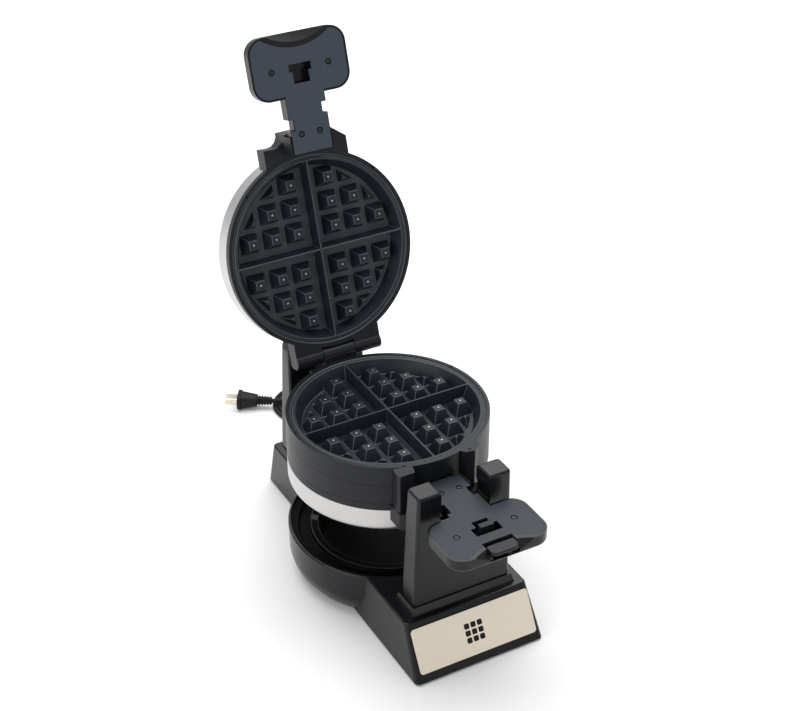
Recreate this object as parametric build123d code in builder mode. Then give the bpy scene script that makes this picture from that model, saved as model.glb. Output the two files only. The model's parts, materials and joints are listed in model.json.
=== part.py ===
from build123d import *
import os
from math import cos, pi, radians, sin, tan

os.makedirs("parts", exist_ok=True)

# Frame: millimetres, +Z up, floor at z = 0, drum axis at x = y = 0, handles towards -Y.
# The drum turns over about the flip axis, which runs along Y at height AXIS_Z.
# A lid is drawn closed, with z counted from the flip axis; the same lid turned
# over about Y is the lower one.

# ---- driving dimensions -------------------------------------------------------------
BODY_GAP = 0.3          # between pieces that move against each other
SEAT_GAP = 0.15         # between pieces of one assembly that lie against each other
RUN_FIT = 0.06          # radial clearance of a turning shaft

AXIS_Z = 172.0          # height of the flip axis
DRUM_R = 105.0          # outer radius of the drum
RING_H = 22.0           # each middle ring, from the flip plane to its rim
RING_WALL = 3.5
BAND_H = 8.0            # plastic band of a lid
COVER_H = 27.0          # metal cover above that band
COVER_WALL = 1.2
COVER_EDGE = 7.0        # rounding of the cover's edge

CAVITY_R = 95.3         # waffle cavity at its rim
FLOOR_R = 88.0          # and at its floor
CAVITY_DEPTH = 15.0
PLATE_WALL = 2.6        # thickness of the cast plates
PLATE_SINK = 0.8        # rim of a plate below the rim of its housing
RIB_TOP = 1.6           # cross ribs that part the four quarters
RIB_FOOT = 6.5
STUD_FIRST = 21.6       # first pyramid from the centre line
STUD_PITCH = 26.0
STUD_FOOT = 21.0
STUD_HEIGHT = 13.2
STUD_DRAFT = 22.9
EDGE_STUD = 8.0         # the three-sided ones at the edge

HINGE_Y = 113.5         # lid hinge axis
HINGE_H = 28.0          # above the flip plane
LID_OPEN = 108.0
PIN_R = 2.4
BARREL_R = 8.0
KNUCKLE_X = 18.5        # half width of the fixed knuckle
BRACKET_X = 50.0        # half width of the lid's hinge bracket
HUB_R = 14.0            # hollow shaft that carries the drum
HUB_BORE = 7.0
HUB_END = 159.0

HANDLE_T = 14.0         # thickness of one handle half
PLATE_T = 2.0           # inner handle plate
GRIP_X = 52.0
GRIP_BACK = -167.0
GRIP_FRONT = -227.0
GRIP_CORNER = 15.0
GRIP_SCOOP = 12.5       # depth of the finger recess in the front edge
SCOOP_X = 38.0
DISH_X = 33.0           # half width of the hollow for a finger
DISH_IN = 9.5
DISH_UP = 10.5
NECK_X = 21.5
NECK_END = -107.5
SHELL_LIP = 2.3         # handle shell around its inner plate
GRIP_SCREW = (31.8, -193.5)
NECK_SCREW = (10.3, -127.0)

BASE_Z = 2.0            # lower edge of the base shell
BASE_TOP = 56.0
BASE_R = 107.0
BASE_WALL = 3.0
RECESS_R = 104.2        # round recess for the drip tray
RECESS_Z = 36.0
TRAY_RING = (75.0, 83.0)
WEDGE_FRONT = dict(x_top=70.0, x_low=74.0, y_in=-60.0, y_top=-164.0, y_low=-194.0)
WEDGE_REAR = dict(x_top=52.5, x_low=54.0, y_in=60.0, y_top=178.0, y_low=190.0)
FOOT_R = 9.0
FOOT_H = 3.0

TOWER_Z = 197.0         # top of the front prongs
TOWER_X = (55.4, 51.9)  # half width at the foot and at the top
TOWER_Y = (-154.0, -127.0, -156.0, -132.0)
SLOT_X = 26.7           # half width of the slot for the neck
SADDLE_T = 1.8          # lining of the slot
SKIRT = 4.0
REAR_Z = 204.0
REAR_X = (48.0, 45.0)
REAR_Y = (134.0, 164.0, 141.0, 158.0)
REAR_SPLIT = 166.0      # seam between the rear tower and its cap
BUSH_R = 21.0
BUSH_Y = (143.0, 156.5)

CORD_D = 5.4
GLAND = (20.0, 184.5, 22.0)
COIL_AT = (50.5, 303.5)
COIL_TURNS = 3.54        # from the near side, where the lead comes in, to the far side
COIL_IN = 24.0          # radius of the innermost turn
COIL_PITCH = 5.5
PLUG_END = (12.0, 321.0, 9.6)
PLUG_AIM = 147.0        # direction in which the plug points, degrees from +X

PARTS = {}


def keep(name, shape):
    """Label a finished piece and write it."""
    shape.label = name
    PARTS[name] = shape
    export_step(shape, f"parts/{name}.step")


def ring(r_out, r_in, z_low, z_high):
    with BuildPart() as piece:
        with BuildSketch(Plane.XY.offset(z_low)):
            Circle(r_out)
            Circle(r_in, mode=Mode.SUBTRACT)
        extrude(amount=z_high - z_low)
    return piece.part


def disc(r, z_low, z_high, x=0.0, y=0.0):
    with BuildPart() as piece:
        with BuildSketch(Plane.XY.offset(z_low)):
            with Locations((x, y)):
                Circle(r)
        extrude(amount=z_high - z_low)
    return piece.part


def cross_pin(r, x_low, x_high, y, z):
    """Round bar along X."""
    with BuildPart() as piece:
        with BuildSketch(Plane.YZ.offset(x_low)):
            with Locations((y, z)):
                Circle(r)
        extrude(amount=x_high - x_low)
    return piece.part


def shaft(r, y_low, y_high, z=AXIS_Z, x=0.0):
    """Round bar along Y."""
    with BuildPart() as piece:
        with BuildSketch(Plane(origin=(x, y_low, z), x_dir=(1, 0, 0), z_dir=(0, 1, 0))):
            Circle(r)
        extrude(amount=y_high - y_low)
    return piece.part


def block(x0, x1, y0, y1, z0, z1):
    with BuildPart() as piece:
        with BuildSketch(Plane.XY.offset(z0)):
            with Locations(((x0 + x1) / 2, (y0 + y1) / 2)):
                Rectangle(x1 - x0, y1 - y0)
        extrude(amount=z1 - z0)
    return piece.part


def slab(points, z0, z1):
    """Flat piece with a straight-edged outline in plan."""
    with BuildPart() as piece:
        with BuildSketch(Plane.XY.offset(z0)):
            with BuildLine():
                Polyline(*points, close=True)
            make_face()
        extrude(amount=z1 - z0)
    return piece.part


def screws(points, head_z, head_r=3.2, head_t=1.6, shank_r=1.5, length=9.0):
    """Cross-head screws along Z with their heads at head_z; negative length points up."""
    step = 1 if length > 0 else -1
    with BuildPart() as piece:
        for x, y in points:
            add(disc(head_r, *sorted((head_z, head_z - step * head_t)), x, y))
            add(disc(shank_r, *sorted((head_z - step * head_t, head_z - length)), x, y))
            for wide, deep in ((0.8, 3.4), (3.4, 0.8)):
                add(block(x - wide / 2, x + wide / 2, y - deep / 2, y + deep / 2,
                          *sorted((head_z, head_z - step * 0.7))), mode=Mode.SUBTRACT)
    return piece.part


# ---- the base -----------------------------------------------------------------------
def bowl(inset, top):
    """Round part of the base, drawn in by inset."""
    r = BASE_R - inset
    with BuildPart() as piece:
        with BuildSketch(Plane.XZ):
            with BuildLine():
                Polyline((0, BASE_Z + inset), (r - 12, BASE_Z + inset), (r - 3.5, 14), (r - 0.8, 24),
                         (r, top), (0, top), close=True)
            make_face()
        revolve(axis=Axis.Z)
    return piece.part


def wedge(w, inset, top):
    """Sloped block of the base that carries a tower, drawn in by inset."""
    side = -1 if w["y_low"] < 0 else 1
    share = (top - BASE_Z) / (BASE_TOP - BASE_Z)
    x_top = w["x_low"] + (w["x_top"] - w["x_low"]) * share - inset
    y_top = w["y_low"] + (w["y_top"] - w["y_low"]) * share - side * inset
    with BuildPart() as piece:
        for z, x, y in ((BASE_Z, w["x_low"] - inset, w["y_low"] - side * inset), (top, x_top, y_top)):
            with BuildSketch(Plane.XY.offset(z)):
                with Locations((0, (y + w["y_in"]) / 2)):
                    Rectangle(2 * x, abs(y - w["y_in"]))
        loft()
    return piece.part


BOSSES = [(-58, -150), (58, -150), (-42, 150), (42, 150)]
TOWER_SCREWS = [(-40, -141), (40, -141), (-34, 149), (34, 149)]
FEET = [(-60, -176), (60, -176), (-41, 176), (41, 176), (-78, 0), (78, 0), (0, 0)]
FLOOR_Z = FOOT_H        # underside of the bottom plate
BOTTOM_T = 2.5

with BuildPart() as base_shell:
    add(bowl(0, BASE_TOP))
    add(wedge(WEDGE_FRONT, 0, BASE_TOP))
    add(wedge(WEDGE_REAR, 0, BASE_TOP))
    tall = [e for e in base_shell.edges() if abs(e.tangent_at(0.5).Z) > 0.7 and e.length > 40]
    fillet(tall, radius=5)
    fillet(base_shell.edges().filter_by(lambda e: abs(e.center().Z - BASE_TOP) < 0.1
                                        and e.bounding_box().size.Z < 0.1), radius=2.5)
    add(disc(RECESS_R, RECESS_Z, BASE_TOP + 1), mode=Mode.SUBTRACT)
    under = RECESS_Z - BASE_WALL
    add(bowl(BASE_WALL, under), mode=Mode.SUBTRACT)
    add(disc(BASE_R - 17, BASE_Z - 1, BASE_Z + BASE_WALL + 1), mode=Mode.SUBTRACT)
    for w in (WEDGE_FRONT, WEDGE_REAR):
        add(wedge(w, BASE_WALL, under), mode=Mode.SUBTRACT)
        add(wedge(w, BASE_WALL, BASE_TOP - BASE_WALL) - disc(RECESS_R + BASE_WALL, 0, BASE_TOP),
            mode=Mode.SUBTRACT)
    for x, y in BOSSES:
        add(disc(4.2, FLOOR_Z + BOTTOM_T + SEAT_GAP, BASE_TOP - 1, x, y))
        add(disc(1.6, 0, 24, x, y), mode=Mode.SUBTRACT)
    for x, y in TOWER_SCREWS:
        add(disc(1.9, 40, BASE_TOP + 1, x, y), mode=Mode.SUBTRACT)
    add(shaft(5.6, 170, 195, GLAND[2], GLAND[0]), mode=Mode.SUBTRACT)
keep("base_shell", base_shell.part)

with BuildPart() as bottom_plate:
    gap = BASE_WALL + SEAT_GAP
    add(disc(BASE_R - 17 - SEAT_GAP, FLOOR_Z, FLOOR_Z + BOTTOM_T))
    for w in (WEDGE_FRONT, WEDGE_REAR):
        side = -1 if w["y_low"] < 0 else 1
        y_out = w["y_low"] - side * (gap + BOTTOM_T)
        add(block(gap + BOTTOM_T - w["x_low"], w["x_low"] - gap - BOTTOM_T, *sorted((side * 80, y_out)),
                  FLOOR_Z, FLOOR_Z + BOTTOM_T))
    for x, y in BOSSES:
        add(disc(2.0, 0, 9, x, y), mode=Mode.SUBTRACT)
    for i in range(-3, 4):
        for side in (-1, 1):
            add(block(i * 14 - 2.5, i * 14 + 2.5, *sorted((side * 30, side * 62)), 0, 9), mode=Mode.SUBTRACT)
keep("base_floor_plate", bottom_plate.part)

with BuildPart() as feet:
    for x, y in FEET:
        with BuildSketch(Plane.XY):
            with Locations((x, y)):
                Circle(FOOT_R - 1)
        with BuildSketch(Plane.XY.offset(FOOT_H)):
            with Locations((x, y)):
                Circle(FOOT_R)
        loft()
keep("rubber_feet", feet.part)
keep("base_screws", screws(BOSSES, FLOOR_Z - 1.6, head_r=3.0, length=-18))
keep("tower_screws", screws(TOWER_SCREWS, BASE_TOP - BASE_WALL - 1.6, head_r=3.4, length=-16))

# Brushed plate let onto the sloped front of the base.
slope_run = WEDGE_FRONT["y_top"] - WEDGE_FRONT["y_low"]
slope_rise = BASE_TOP - BASE_Z
slope = Vector(0, slope_run, slope_rise).normalized()
outward = Vector(0, -slope.Z, slope.Y)
mid = Vector(0, (WEDGE_FRONT["y_top"] + WEDGE_FRONT["y_low"]) / 2, (BASE_TOP + BASE_Z) / 2 + 1.5)
PLATE_PLANE = Plane(origin=mid + outward * 0.1, x_dir=(1, 0, 0), z_dir=outward)
with BuildPart() as front_plate:
    with BuildSketch(PLATE_PLANE):
        RectangleRounded(2 * 67.5, 46.5, 3.5)
    extrude(amount=1.0)
keep("front_plate", front_plate.part)


# ---- the front tower ----------------------------------------------------------------
def tower(z_low, z_high, x_pair, y_four, inset=0.0):
    """Tapered post: half widths and front/back at its foot and its top."""
    with BuildPart() as piece:
        for z, x, y0, y1 in ((z_low, x_pair[0], y_four[0], y_four[1]),
                             (z_high, x_pair[1], y_four[2], y_four[3])):
            with BuildSketch(Plane.XY.offset(z)):
                with Locations((0, (y0 + y1) / 2)):
                    Rectangle(2 * (x - inset), abs(y1 - y0) - 2 * inset)
        loft()
    return piece.part


with BuildPart() as front_tower:
    add(tower(BASE_TOP, TOWER_Z, TOWER_X, TOWER_Y))
    fillet(front_tower.edges().filter_by(lambda e: abs(e.tangent_at(0.5).Z) > 0.9), radius=4)
    add(block(-SLOT_X, SLOT_X, -170, -110, AXIS_Z, TOWER_Z + 2), mode=Mode.SUBTRACT)
    fillet(front_tower.edges().filter_by(lambda e: abs(e.center().Z - TOWER_Z) < 0.1
                                         and e.bounding_box().size.Z < 0.1), radius=3.2)
    add(shaft(SLOT_X + SADDLE_T, -170, -110), mode=Mode.SUBTRACT)
    skirt = tower(BASE_TOP, BASE_TOP + 9, (TOWER_X[0] + SKIRT, TOWER_X[0] + 1.5),
                  (TOWER_Y[0] - SKIRT, TOWER_Y[1] + SKIRT, TOWER_Y[0] - 1.5, TOWER_Y[1] + 1.5))
    add(skirt)
    add(tower(BASE_TOP, 136, (TOWER_X[0] - 4, TOWER_X[1] - 2),
              (TOWER_Y[0] + 4, TOWER_Y[1] - 4, TOWER_Y[2] + 5, TOWER_Y[3] - 5)), mode=Mode.SUBTRACT)
    for x in (-40, 40):
        add(disc(4.5, BASE_TOP, 137, x, -141))
        add(disc(1.6, BASE_TOP - 1, 72, x, -141), mode=Mode.SUBTRACT)
keep("front_tower", front_tower.part)

with BuildPart() as saddle:
    add(shaft(SLOT_X + SADDLE_T - SEAT_GAP, TOWER_Y[2] + 3, TOWER_Y[3] - 2))
    add(shaft(SLOT_X, -170, -110), mode=Mode.SUBTRACT)
    add(block(-60, 60, -170, -110, AXIS_Z - 4, AXIS_Z + 60), mode=Mode.SUBTRACT)
keep("neck_saddle", saddle.part)

# ---- the rear tower and its bearing --------------------------------------------------
horn_x = 41.0
with BuildPart() as rear_body:
    add(tower(BASE_TOP, REAR_Z, REAR_X, REAR_Y))
    fillet(rear_body.edges().filter_by(lambda e: abs(e.tangent_at(0.5).Z) > 0.9), radius=3)
    notch = [(-horn_x, REAR_Z + 1), (-SLOT_X, AXIS_Z), (SLOT_X, AXIS_Z), (horn_x, REAR_Z + 1)]
    with BuildSketch(Plane(origin=(0, 100, 0), x_dir=(1, 0, 0), z_dir=(0, -1, 0))):
        with BuildLine():
            Polyline(*notch, close=True)
        make_face()
    extrude(amount=-100, mode=Mode.SUBTRACT)
    for s in (-1, 1):
        with BuildSketch(Plane(origin=(0, 100, 0), x_dir=(1, 0, 0), z_dir=(0, -1, 0))):
            with BuildLine():
                Polyline((s * horn_x, REAR_Z + 1), (s * 60, REAR_Z + 1), (s * 60, 186), (s * 46, 194),
                         close=True)
            make_face()
        extrude(amount=-100, mode=Mode.SUBTRACT)
    add(shaft(BUSH_R + SEAT_GAP, 100, 200), mode=Mode.SUBTRACT)
    add(block(-BUSH_R + 3, BUSH_R - 3, 100, 200, AXIS_Z, REAR_Z), mode=Mode.SUBTRACT)

with BuildPart() as rear_tower:
    add(rear_body.part & block(-70, 70, 100, 200, 0, REAR_SPLIT))
    add(tower(BASE_TOP, BASE_TOP + 7, (REAR_X[0] + 3, REAR_X[0] + 1),
              (REAR_Y[0] - 3, REAR_Y[1] + 3, REAR_Y[0] - 1, REAR_Y[1] + 1)))
    add(tower(BASE_TOP, 140, (REAR_X[0] - 4, REAR_X[1] - 2),
              (REAR_Y[0] + 4, REAR_Y[1] - 4, REAR_Y[2] + 1, REAR_Y[3] - 3)), mode=Mode.SUBTRACT)
    for x in (-34, 34):
        add(disc(4.5, BASE_TOP, 141, x, 149))
        add(disc(1.6, BASE_TOP - 1, 72, x, 149), mode=Mode.SUBTRACT)
        add(disc(1.6, REAR_SPLIT - 18, REAR_SPLIT + 1, x, 149.5), mode=Mode.SUBTRACT)
keep("rear_tower", rear_tower.part)

with BuildPart() as rear_cap:
    add(rear_body.part & block(-70, 70, 100, 200, REAR_SPLIT + SEAT_GAP, REAR_Z + 5))
    for x in (-34, 34):
        add(disc(1.9, REAR_SPLIT - 1, REAR_Z + 5, x, 149.5), mode=Mode.SUBTRACT)
        add(disc(3.4, 178, REAR_Z + 5, x, 149.5), mode=Mode.SUBTRACT)
keep("rear_tower_caps", rear_cap.part)
keep("rear_cap_screws", screws([(-34, 149.5), (34, 149.5)], 179.6, head_r=3.0, length=26))

with BuildPart() as bush:
    add(shaft(BUSH_R, *BUSH_Y))
    add(shaft(HUB_R + RUN_FIT, BUSH_Y[0] - 1, BUSH_Y[1] + 1), mode=Mode.SUBTRACT)
keep("rear_bush", bush.part)

with BuildPart() as clamp:
    add(shaft(BUSH_R + 3.6, BUSH_Y[0] + 1, BUSH_Y[1] - 1))
    add(block(-SLOT_X + 0.4, SLOT_X - 0.4, BUSH_Y[0] + 1, BUSH_Y[1] - 1, AXIS_Z, AXIS_Z + 5))
    add(shaft(BUSH_R + SEAT_GAP, 100, 200), mode=Mode.SUBTRACT)
    add(block(-60, 60, 100, 200, 100, AXIS_Z + SEAT_GAP), mode=Mode.SUBTRACT)
keep("bearing_clamp", clamp.part)


# ---- waffle plates ------------------------------------------------------------------
def waffle_plate(back_h):
    """Cast plate with its rim at z = 0 and its cavity below; back_h is how thick it is."""
    with BuildPart() as cup:
        with BuildSketch(Plane.XZ):
            with BuildLine():
                Polyline((0, 0), (CAVITY_R, 0), (FLOOR_R, -CAVITY_DEPTH), (0, -CAVITY_DEPTH), close=True)
            make_face()
        revolve(axis=Axis.Z)
    with BuildPart() as studs:
        spots = [(i, j) for i in range(3) for j in range(3) if i + j <= 2]
        for sx in (-1, 1):
            for sy in (-1, 1):
                places = [(sx * (STUD_FIRST + STUD_PITCH * i), sy * (STUD_FIRST + STUD_PITCH * j))
                          for i, j in spots]
                with BuildSketch(Plane.XY.offset(-CAVITY_DEPTH - 1)):
                    with Locations(*places):
                        Rectangle(STUD_FOOT + 2 * tan(radians(STUD_DRAFT)), STUD_FOOT
                                  + 2 * tan(radians(STUD_DRAFT)))
                extrude(amount=STUD_HEIGHT + 1, taper=STUD_DRAFT)
                near, far = STUD_FIRST + STUD_PITCH - STUD_FOOT / 2, STUD_FIRST + 2 * STUD_PITCH - STUD_FOOT / 2
                for x, y, long_x, long_y in ((near, far, 18, 14), (far, near, 14, 18)):
                    corners = [(sx * x, sy * y), (sx * (x + long_x), sy * y), (sx * x, sy * (y + long_y))]
                    with BuildSketch(Plane.XY.offset(-CAVITY_DEPTH)):
                        Polygon(*corners[::sx * sy], align=None)
                    extrude(amount=EDGE_STUD, taper=STUD_DRAFT)
        draft = (RIB_FOOT - RIB_TOP) / 2 / CAVITY_DEPTH
        for wide, deep in ((RIB_FOOT, 2 * CAVITY_R), (2 * CAVITY_R, RIB_FOOT)):
            with BuildSketch(Plane.XY.offset(-CAVITY_DEPTH)):
                Rectangle(wide, deep)
            with BuildSketch(Plane.XY):
                shrink = 2 * draft * CAVITY_DEPTH
                Rectangle(wide - (shrink if wide == RIB_FOOT else 0), deep - (shrink if deep == RIB_FOOT else 0))
            loft()
        add(cup.part, mode=Mode.INTERSECT)
    with BuildPart() as plate:
        with BuildSketch(Plane.XZ):
            rim = DRUM_R - RING_WALL - SEAT_GAP
            with BuildLine():
                Polyline((0, -CAVITY_DEPTH), (FLOOR_R, -CAVITY_DEPTH), (CAVITY_R, 0), (CAVITY_R + 2.2, 0),
                         (CAVITY_R + 2.6, -1.0), (rim - 1.4, -1.0), (rim - 1.0, 0), (rim, 0), (rim, -4),
                         (CAVITY_R + 2.4, -4), (FLOOR_R + 2.6, -back_h), (0, -back_h), close=True)
            make_face()
        revolve(axis=Axis.Z)
        add(studs.part)
    return plate.part


def heater(r, tube_r, z, tail):
    """Tubular element bent to an open ring, with its two ends turned inwards."""
    with BuildPart() as piece:
        with BuildLine(Plane.XY.offset(z)):
            arc = CenterArc((0, 0), r, 100, 340)
        with BuildSketch(Plane(origin=arc @ 0, z_dir=arc % 0)):
            Circle(tube_r)
        sweep()
        for end, way in ((arc @ 0, 1), (arc @ 1, -1)):
            with BuildSketch(Plane(origin=end, z_dir=(0, 1, 0))):
                Circle(tube_r * 0.8)
            extrude(amount=-tail)
    return piece.part


plate_back = CAVITY_DEPTH + PLATE_WALL
plate = waffle_plate(plate_back)


# ---- the middle of the drum, one ring above the flip plane and one below -------------
RIM_SCREWS = [(103.2 * cos(radians(a)), 103.2 * sin(radians(a))) for a in (20, 109.4, 178, 250)]
LUG_SCREW = (36.2, -103.4)
LEFT_BLOCK = [(-47, -96), (-28.3, -101), (-28.3, -103.9), (-30.7, -111.2), (-46.9, -111.5), (-48.4, -108)]
RIGHT_LUG = [(26.9, -99), (26.9, -102.7), (30.1, -106.3), (39.7, -108), (47.8, -101.7), (47.8, -94)]


def middle_ring(z_low, z_high, turned):
    """Half of the middle housing; the lower one is the upper one turned about Y."""
    s = -1 if turned else 1
    with BuildPart() as piece:
        add(ring(DRUM_R, DRUM_R - RING_WALL, z_low, z_high))
        add(slab(LEFT_BLOCK, z_low, z_high))
        add(slab(RIGHT_LUG, z_low, z_high))
        add(disc(DRUM_R - RING_WALL, z_low - 1, z_high + 1), mode=Mode.SUBTRACT)
        far = z_high if not turned else z_low
        inner = far - s * (PLATE_SINK + 4 + SEAT_GAP)
        add(ring(DRUM_R - RING_WALL, DRUM_R - RING_WALL - 2.5, *sorted((inner, inner - s * 3))))
        for x, y in RIM_SCREWS + [LUG_SCREW]:
            add(disc(1.25, z_low - 1, z_high + 1, x, y), mode=Mode.SUBTRACT)
            if not turned:
                add(disc(1.7, z_high - 1.2, z_high + 1, x, y), mode=Mode.SUBTRACT)
    return piece.part


keep("middle_upper_ring", middle_ring(AXIS_Z + SEAT_GAP, AXIS_Z + RING_H, False))
keep("middle_lower_ring", middle_ring(AXIS_Z - RING_H, AXIS_Z - SEAT_GAP, True))
keep("rim_screws", screws(RIM_SCREWS + [LUG_SCREW], AXIS_Z + RING_H - 0.1, head_r=1.6, head_t=1.0,
                          shank_r=1.2, length=30))
rim_h = RING_H - PLATE_SINK
keep("middle_upper_waffle_plate", plate.moved(Location((0, 0, AXIS_Z + rim_h))))
keep("middle_lower_waffle_plate", plate.moved(Location((0, 0, AXIS_Z - rim_h), (0, 180, 0))))
keep("middle_heater", heater(62, 3.0, AXIS_Z, 30))
keep("middle_thermostat", disc(9, AXIS_Z - 3, AXIS_Z + 3, 0, 12))

with BuildPart() as hub:
    add(block(-34, 34, 90, 111, AXIS_Z - 15, AXIS_Z + 15))
    add(disc(DRUM_R + SEAT_GAP, 100, 250), mode=Mode.SUBTRACT)
    add(shaft(HUB_R + 1.8, 108, BUSH_Y[0] - 0.5))
    add(shaft(HUB_R, 120, HUB_END))
    add(shaft(HUB_BORE, 90, HUB_END + 2), mode=Mode.SUBTRACT)
keep("hub", hub.part)
keep("hub_retainer", shaft(HUB_R + 4, BUSH_Y[1] + 0.4, HUB_END) - shaft(HUB_R + 0.02, 150, 170))


def knuckle(turned):
    """Fixed hinge block on the middle of the drum."""
    s = -1 if turned else 1
    z = AXIS_Z + s * HINGE_H
    with BuildPart() as piece:
        add(cross_pin(BARREL_R, -KNUCKLE_X, KNUCKLE_X, HINGE_Y, z))
        add(block(-KNUCKLE_X, KNUCKLE_X, 100, HINGE_Y, *sorted((z, AXIS_Z + s * 16))))
        add(disc(DRUM_R + BODY_GAP, 100, 250), mode=Mode.SUBTRACT)
        add(cross_pin(PIN_R + 0.02, -60, 60, HINGE_Y, z), mode=Mode.SUBTRACT)
    return piece.part


for name, turned in (("upper", False), ("lower", True)):
    keep(f"{name}_knuckle", knuckle(turned))
    z = AXIS_Z + (-HINGE_H if turned else HINGE_H)
    keep(f"{name}_hinge_pin", cross_pin(PIN_R, 4 - BRACKET_X, BRACKET_X - 4, HINGE_Y, z))


# ---- the lids -----------------------------------------------------------------------
def grip_face(grow, scooped):
    """Outline of a handle, larger by grow; scooped is its finger recess."""
    with BuildSketch() as face:
        with Locations((0, (GRIP_BACK + GRIP_FRONT) / 2)):
            RectangleRounded(2 * (GRIP_X + grow), GRIP_BACK - GRIP_FRONT + 2 * grow, GRIP_CORNER + grow)
        with Locations((0, (GRIP_BACK + NECK_END) / 2 - 10)):
            Rectangle(2 * (NECK_X + min(grow, 0.6)), NECK_END - GRIP_BACK + 20)
        if scooped:
            chord = SCOOP_X
            sag = GRIP_SCOOP - grow * 0.4
            r = (chord ** 2 + sag ** 2) / (2 * sag)
            with Locations((0, GRIP_FRONT - grow - r + sag)):
                Circle(r, mode=Mode.SUBTRACT)
    return face.sketch


def raised(face, z_low, z_high):
    with BuildPart() as piece:
        with BuildSketch(Plane.XY.offset(z_low)):
            add(face)
        extrude(amount=z_high - z_low)
    return piece.part


def finger_recess():
    """Ball-shaped hollow in the front edge, which with its other half makes a grip for a finger."""
    front = GRIP_FRONT - SHELL_LIP
    over = (DISH_X ** 2 - DISH_UP ** 2) / (2 * DISH_UP)
    before = (DISH_X ** 2 - DISH_IN ** 2) / (2 * DISH_IN)
    r = (DISH_X ** 2 + over ** 2 + before ** 2) ** 0.5
    with BuildPart() as ball:
        with Locations((0, front - before, -over)):
            Sphere(r)
    return ball.part


NOTCHES = {"top": [(17.0, 30, -155, -144), (-30, -16.0, -143, -131)],
           "bottom": [(17.0, 30, -159, -144), (-30, -16.0, -144, -130)]}
WINDOWS = {"top": [(-12.5, 12.5, -197.8, -190), (-9, 9, -190.5, -178)],
           "bottom": [(-14.5, 14.5, -202, -190), (-8.5, 8.5, -190.5, -181)]}


def handle_shell(lid):
    low = BODY_GAP / 2
    with BuildPart() as piece:
        add(raised(grip_face(SHELL_LIP, False), low, HANDLE_T))
        fillet(piece.edges().filter_by(lambda e: abs(e.center().Z - HANDLE_T) < 0.1
                                       and e.bounding_box().size.Z < 0.1 and e.center().Y < -160
                                       and e.bounding_box().size.X > 3), radius=4)
        add(raised(grip_face(SEAT_GAP, True), low - 1, low + PLATE_T + SEAT_GAP), mode=Mode.SUBTRACT)
        add(finger_recess(), mode=Mode.SUBTRACT)
        for x0, x1, y0, y1 in NOTCHES[lid]:
            add(block(x0 + (0.8 if x0 > 0 else 0), x1 - (0.8 if x0 < 0 else 0), y0, y1, -1, HANDLE_T + 1),
                mode=Mode.SUBTRACT)
        for x0, x1, y0, y1 in WINDOWS[lid]:
            add(block(x0 - 1, x1 + 1, y0 - 1, y1 + 1, 0, HANDLE_T - 3), mode=Mode.SUBTRACT)
        if lid == "bottom":
            add(block(-16.5, 16.5, GRIP_FRONT - 12, -190, 0, HANDLE_T - 3), mode=Mode.SUBTRACT)
        for s in (-1, 1):
            for x, y in (GRIP_SCREW, NECK_SCREW):
                add(disc(1.45, 0, HANDLE_T - 2, s * x, y), mode=Mode.SUBTRACT)
    return piece.part


def handle_plate(lid):
    low = BODY_GAP / 2
    with BuildPart() as piece:
        add(raised(grip_face(0, True), low, low + PLATE_T))
        for x0, x1, y0, y1 in NOTCHES[lid] + WINDOWS[lid]:
            add(block(x0, x1, y0, y1, -1, 9), mode=Mode.SUBTRACT)
        if lid == "bottom":
            add(block(-16.4, 16.4, -240, -213.5, -1, 9), mode=Mode.SUBTRACT)
        for s in (-1, 1):
            for x, y in (GRIP_SCREW, NECK_SCREW):
                add(disc(3.3, -1, low + 1.0, s * x, y), mode=Mode.SUBTRACT)
                add(disc(1.6, -1, 9, s * x, y), mode=Mode.SUBTRACT)
    return piece.part


WING_H = (RING_H + 0.5, RING_H + 19.0)
WING = [(-46.2, -88), (-46.2, -115), (-35, -114.3), (-30, -115.2), (-25.2, -119), (-23, -124), (-22.9, -128),
        (24.3, -128), (30, -126), (48.3, -112.3), (48.3, -88)]


def front_bracket():
    """Moulding that joins a lid to its handle and wraps the front of the drum."""
    with BuildPart() as piece:
        add(slab(WING, *WING_H))
        add(block(-24.3, 24.3, -128, NECK_END, HANDLE_T + SEAT_GAP, WING_H[0] + 4))
        for s in (-1, 1):
            add(block(*sorted((s * 24.3, s * 22.9)), -126, NECK_END, BODY_GAP, HANDLE_T + 2))
        add(disc(DRUM_R + SEAT_GAP, WING_H[0] - 1, 99), mode=Mode.SUBTRACT)
        add(disc(DRUM_R + 2.0, -1, WING_H[0] + 0.1), mode=Mode.SUBTRACT)
        for s in (-1, 1):
            add(disc(1.45, -1, HANDLE_T + 6, s * NECK_SCREW[0], NECK_SCREW[1]), mode=Mode.SUBTRACT)
    return piece.part


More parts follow.
